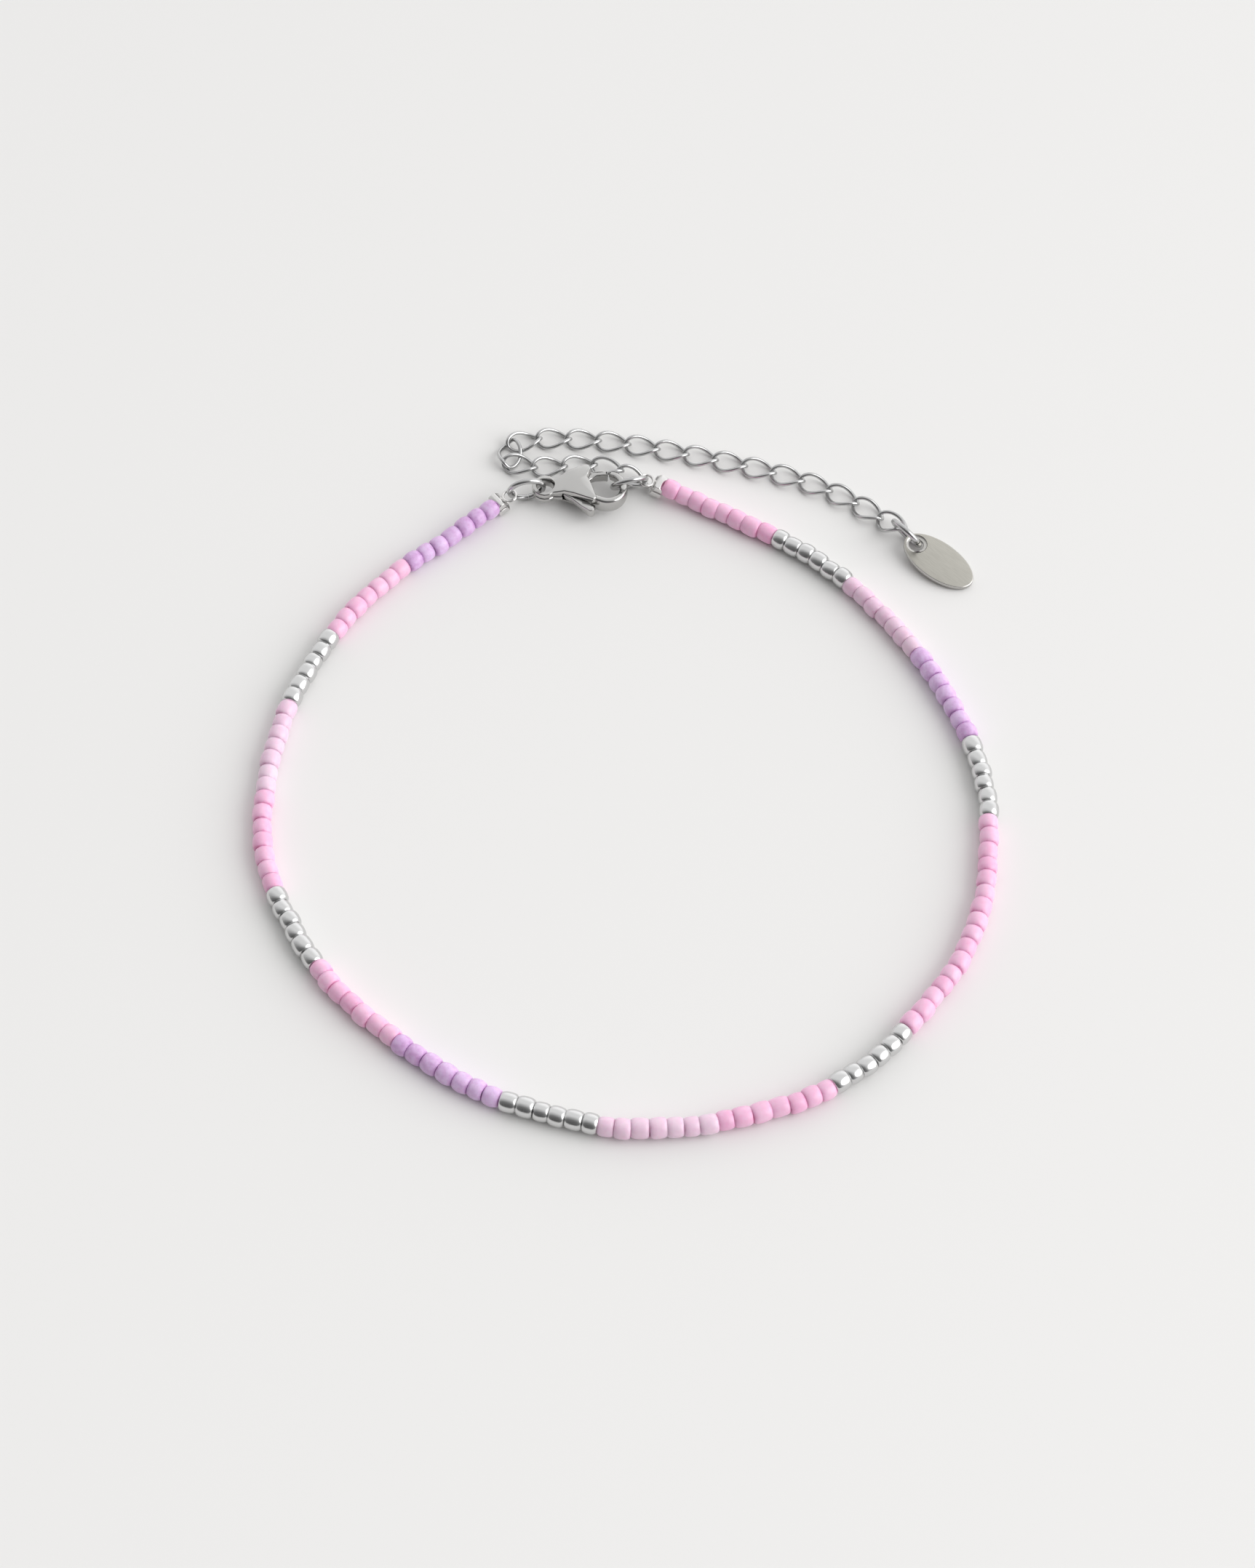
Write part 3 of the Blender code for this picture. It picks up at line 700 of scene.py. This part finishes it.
def crimp_box():
    """The folded sheet: a box about its middle, its roof sloping down to the loop. build_crimp slits it at
    both sides.
    """
    half_wide = CRIMP_WIDTH / 2
    low = -CRIMP_HEIGHT / 2
    loops = []
    for along, share in CRIMP_ROOF:
        top = share * CRIMP_HEIGHT / 2
        x = along * CRIMP_LENGTH
        loops.append([Vector((x, -half_wide, low)), Vector((x, half_wide, low)),
                      Vector((x, half_wide, top)), Vector((x, -half_wide, top))])
    return loft_mesh("box", loops)


def block_mesh(name, low, high):
    corners = [(low.x, low.y), (high.x, low.y), (high.x, high.y), (low.x, high.y)]
    return loft_mesh(name, [[Vector((x, y, z)) for x, y in corners] for z in (low.z, high.z)])


def build_crimp(name):
    """A folded crimp, its box slit at both sides and joined to the loop in front of it."""
    heading, pitch = CRIMP_TURNS[name]
    whole = CRIMP_LOOP_DIAMETER - CRIMP_LOOP_WIRE / 2 + CRIMP_LENGTH
    shift = Vector(((whole - CRIMP_LENGTH) / 2, 0.0, 0.0))
    crimp = add_object("folded_" + name, crimp_box())
    reach = CRIMP_LENGTH * 0.4
    for side in (-1, 1):
        ends = sorted((side * CRIMP_WIDTH, side * (CRIMP_WIDTH / 2 - CRIMP_SLIT_DEPTH)))
        slit = block_mesh("slit", Vector((-reach, ends[0], -CRIMP_SLIT / 2)),
                          Vector((CRIMP_LENGTH, ends[1], CRIMP_SLIT / 2)))
        combine(crimp, slit, "DIFFERENCE")
    rounded = crimp.modifiers.new("rounded edges", "BEVEL")
    rounded.width = CRIMP_ROUND
    rounded.segments = 3
    rounded.limit_method = "ANGLE"
    rounded.angle_limit = math.radians(20)
    crimp.data.transform(Matrix.Translation(shift))
    loop_middle = Vector((CRIMP_LOOP_DIAMETER / 2 - whole / 2, 0.0, 0.0))
    radius = (CRIMP_LOOP_DIAMETER - CRIMP_LOOP_WIRE) / 2
    step = 360 / CRIMP_LOOP_SEGMENTS
    centres = [loop_middle + radius * unit(step * k) for k in range(CRIMP_LOOP_SEGMENTS)]
    outwards = [centre - loop_middle for centre in centres]
    section = round_section(CRIMP_LOOP_WIRE / 2, 12)
    combine(crimp, tube_mesh("loop", centres, outwards, lambda i: section, closed=True), "UNION")
    finish_edges(crimp.data)
    crimp.data.materials.clear()
    crimp.data.materials.append(STEEL)
    crimp.matrix_world = node_pose(name, heading, pitch)
    put(crimp, "anklet", "bright_steel", name)


# Clasp

def clasp_half_thickness(place):
    """The plate's half thickness, growing smoothly from the eye to the pivot."""
    share = min(1.0, max(0.0, place.x / PIVOT.x))
    return (EYE_THICKNESS + (HUB_THICKNESS - EYE_THICKNESS) * share * share * (3 - 2 * share)) / 2


def clasp_spine(place):
    """The nearest place on the line from the eye to the pivot, measured along the clasp."""
    along = min(max(place.x, 0.0), PIVOT.x)
    return Vector((along, along * PIVOT.y / PIVOT.x, 0.0))


def claw_mesh():
    """The fixed claw, swept round from the hub's near corner to its tip, with oval sections."""
    rows = [Vector((HUB_LENGTH + a * HOOK_REACH, b * HOOK_WIDTH, 0.0)) for a, b, _, _ in CLAW_SECTIONS]
    centres = smooth_curve(rows, 8)
    sizes = smooth_curve([Vector((w, t, 0.0)) for _, _, w, t in CLAW_SECTIONS], 8)
    middle = Vector((HUB_LENGTH + CLAW_MIDDLE * HOOK_REACH, 0.0, 0.0))
    for _ in range(CLAW_TIP_STEPS):
        way = (centres[-1] - centres[-2]).normalized()
        centres.append(centres[-1] + way * CLAW_TIP_STEP)
        sizes.append(sizes[-1] * CLAW_TIP_SHRINK)

    def section(i):
        wide = sizes[i].x * CLAW_WIDTH / 2
        thick = sizes[i].y * CLAW_THICKNESS / 2
        angles = [2 * math.pi * (k + 0.5) / CLAW_SIDES for k in range(CLAW_SIDES)]
        return [(wide * squared(math.cos(t), 0.7), thick * squared(math.sin(t), 0.7)) for t in angles]

    return tube_mesh("claw", centres, [centre - middle for centre in centres], section, closed=False)


def build_clasp(eye):
    """Cast clasp body: eye and plate in one, slotted for the lever, with the claw joined on."""
    turn = math.degrees(math.asin(NECK_WIDTH / EYE_DIAMETER))
    outline = arc(Vector((0, 0, 0)), EYE_DIAMETER / 2, turn + 6, 354 - turn, 12)
    outline += [Vector((a * HUB_LENGTH, b * HUB_WIDTH, 0.0)) for a, b in HUB_OUTLINE]
    outline = closed_curve(outline, 3)
    plate = plate_mesh("cast_clasp", outline, PLATE_RIM, clasp_half_thickness, CLASP_CROWN, clasp_spine)
    body = add_object("cast_clasp", plate)
    # Eye's hole, wider at both lips
    hole = EYE_HOLE / 2
    lip = EYE_THICKNESS / 2
    profile = [(hole * 1.5, -2 * lip), (hole * 1.12, -lip), (hole, -0.7 * lip), (hole, 0.7 * lip),
               (hole * 1.12, lip), (hole * 1.5, 2 * lip)]
    combine(body, turned_mesh("eye_hole", profile), "DIFFERENCE")
    # Room for the lever, open towards the hook
    slot = LEVER_THICKNESS / 2 + SLIDE_GAP
    round_end = arc(PIVOT, LEVER_RADIUS + 1.5 * SLIDE_GAP, 90, 250, 32)
    beyond = HUB_LENGTH * 1.5
    sides = round_end + [
        Vector((round_end[-1].x, -HUB_WIDTH, 0)), Vector((beyond, -HUB_WIDTH, 0)),
        Vector((beyond, HUB_WIDTH, 0)), Vector((round_end[0].x, HUB_WIDTH, 0)),
    ]
    levels = [Vector((0, 0, -slot)), Vector((0, 0, slot))]
    room = loft_mesh("lever_slot", [[p + level for p in sides] for level in levels])
    combine(body, room, "DIFFERENCE")
    combine(body, claw_mesh(), "UNION")
    finish_edges(body.data)
    body.data.materials.clear()
    body.data.materials.append(CLASP_STEEL)
    body.matrix_world = Matrix.Translation(eye)
    put(body, "anklet", "bright_steel", "clasp_body")


def lever_half_thickness(place):
    """The lever's half thickness: its tab and gate swell where they stand clear of the plates."""
    tab = (-place.y - 0.78 * TAB_REACH) / (0.2 * TAB_REACH)
    gate = (place.x - 0.5 * GATE_REACH) / (0.15 * GATE_REACH)
    share = min(1.0, max(0.0, tab, gate))
    return LEVER_THICKNESS / 2 * (1 + 0.5 * share)


def build_lever(pivot):
    """Spring lever with its origin on the pivot: gate to the far right, thumb tab to the near side."""
    tab = Vector((0.37 * TAB_REACH, -0.93 * TAB_REACH, 0.0))
    gate = Vector((GATE_REACH, HOOK_WIDTH * 0.46 - PIVOT.y, 0.0))
    low = gate.y - GATE_WIDTH * 0.6
    outline = arc(Vector((0, 0, 0)), LEVER_RADIUS, 110, 247, 12)
    outline += arc(tab, TAB_TIP / 2, 215, 380, 6)
    # From the tab up to the gate's near side, round its tip and back along its far side
    outline += [
        Vector((0.30 * GATE_REACH, -0.50 * TAB_REACH, 0)),
        Vector((0.31 * GATE_REACH, -0.10 * TAB_REACH, 0)),
        Vector((0.42 * GATE_REACH, low * 0.60, 0)),
        Vector((0.62 * GATE_REACH, low * 0.93, 0)),
        Vector((0.85 * GATE_REACH, low, 0)),
        Vector((GATE_REACH, low, 0)),
        gate + Vector((0.0, 0.35 * GATE_WIDTH, 0)),
        gate + Vector((-0.18 * GATE_REACH, 0.48 * GATE_WIDTH, 0)),
        gate + Vector((-0.45 * GATE_REACH, 0.50 * GATE_WIDTH, 0)),
        gate + Vector((-0.70 * GATE_REACH, 0.40 * GATE_WIDTH, 0)),
    ]
    mesh = plate_mesh("spring_lever", closed_curve(outline, 3), LEVER_RIM, lever_half_thickness)
    finish_edges(mesh)
    mesh.materials.append(CLASP_STEEL)
    lever = add_object("spring_lever", mesh, Matrix.Translation(pivot))
    put(lever, "lever", "bright_steel", "clasp_lever")


# Tag

def build_tag():
    """Oval satin tag with a polished rim, and a dished hole for its ring."""
    outline = [Vector((TAG_LENGTH / 2 * math.cos(t), TAG_WIDTH / 2 * math.sin(t), 0.0))
               for t in (2 * math.pi * k / TAG_SIDES for k in range(TAG_SIDES))]
    mesh = plate_mesh("oval_tag", outline, TAG_RIM, lambda place: TAG_THICKNESS / 2)
    mesh.materials.append(SATIN)
    mesh.materials.append(RIM_STEEL)
    for face in mesh.polygons:
        face.material_index = 0 if abs(face.normal.z) > 0.9 else 1
    tag = add_object("oval_tag", mesh)
    to_hole = TAG_LENGTH / 2 - TAG_HOLE / 2 - TAG_HOLE_INSET
    top = TAG_THICKNESS / 2
    hole = TAG_HOLE / 2
    dish = TAG_DISH / 2
    profile = [(hole, -2 * top), (hole, top - TAG_DISH_DEPTH)]
    for k in range(1, TAG_DISH_STEPS + 1):
        t = math.pi / 2 * k / TAG_DISH_STEPS
        profile.append((hole + (dish - hole) * math.sin(t), top - TAG_DISH_DEPTH * math.cos(t)))
    profile.append((dish, 2 * top))
    cutter = turned_mesh("dished_hole", profile)
    cutter.materials.append(RIM_STEEL)
    cutter.transform(Matrix.Translation((-to_hole, 0.0, 0.0)))
    combine(tag, cutter, "DIFFERENCE")
    finish_edges(tag.data, 30)
    tag.matrix_world = node_pose("tag", *TAG_TURN)
    put(tag, "anklet", "satin_steel", "tag")


# Stage

def build_floor():
    mesh = bpy.data.meshes.new("floor")
    half = FLOOR_SIZE / 2
    corners = [(-half, -half, 0), (half, -half, 0), (half, half, 0), (-half, half, 0)]
    mesh.from_pydata(corners, [], [(0, 1, 2, 3)])
    made, _, _, shader = new_material("floor")
    shader.inputs["Base Color"].default_value = (*FLOOR_COLOUR, 1.0)
    shader.inputs["Roughness"].default_value = 0.9
    shader.inputs["Specular IOR Level"].default_value = 0.1
    mesh.materials.append(made)
    add_object("floor", mesh, Matrix.Translation((0, 0, -FLOOR_DROP)))


def build_world():
    """Studio light by its direction: dark low on the near left side, white low on the far right one."""
    world = bpy.data.worlds.new("studio")
    bpy.context.scene.world = world
    world.use_nodes = True
    nodes = world.node_tree.nodes
    links = world.node_tree.links
    background = nodes["Background"]
    place = nodes.new("ShaderNodeTexCoord")
    nearness = nodes.new("ShaderNodeVectorMath")
    nearness.operation = "DOT_PRODUCT"
    links.new(place.outputs["Generated"], nearness.inputs[0])
    nearness.inputs[1].default_value = BRIGHT_SIDE
    spread = nodes.new("ShaderNodeMapRange")
    spread.inputs["From Min"].default_value = -1.0
    spread.inputs["From Max"].default_value = 1.0
    links.new(nearness.outputs["Value"], spread.inputs["Value"])
    stops = [(share, (grey, grey, grey)) for share, grey in SKY_GREYS]
    ramp = ramp_node(nodes, links, spread.outputs["Result"], stops)
    links.new(ramp.outputs["Color"], background.inputs["Color"])
    background.inputs["Strength"].default_value = WORLD_STRENGTH


def facing(place, away):
    """Matrix at this place with +Z turned away, so that a lamp or camera there looks back."""
    return Matrix.Translation(place) @ away.to_track_quat("Z", "Y").to_matrix().to_4x4()


def build_key():
    lamp = bpy.data.lights.new("key", "AREA")
    lamp.shape = "DISK"
    lamp.size = KEY_SIZE
    lamp.energy = KEY_POWER
    add_object("key", lamp, facing(KEY_PLACE, KEY_PLACE))


def build_camera():
    lens = bpy.data.cameras.new("camera")
    lens.lens = CAMERA_LENS
    lens.clip_start = 0.01
    lens.clip_end = 20.0
    lift = math.radians(CAMERA_ELEVATION)
    back = Vector((0, -math.cos(lift), math.sin(lift)))
    place = CAMERA_TARGET + back * CAMERA_DISTANCE
    bpy.context.scene.camera = add_object("camera", lens, facing(place, back))


bpy.context.scene.view_settings.view_transform = "Standard"
build_camera()
build_floor()
build_world()
build_key()
strand = build_beads()
build_thread(strand)
build_links()
for ring in ("ring_left", "ring_right", "ring_tag"):
    build_ring(ring)
for crimp in CRIMP_TURNS:
    build_crimp(crimp)
pivot = Vector(frame["record"]["behaviour"]["joints"][0]["pos_m"])
build_clasp(pivot - PIVOT)
build_lever(pivot)
build_tag()
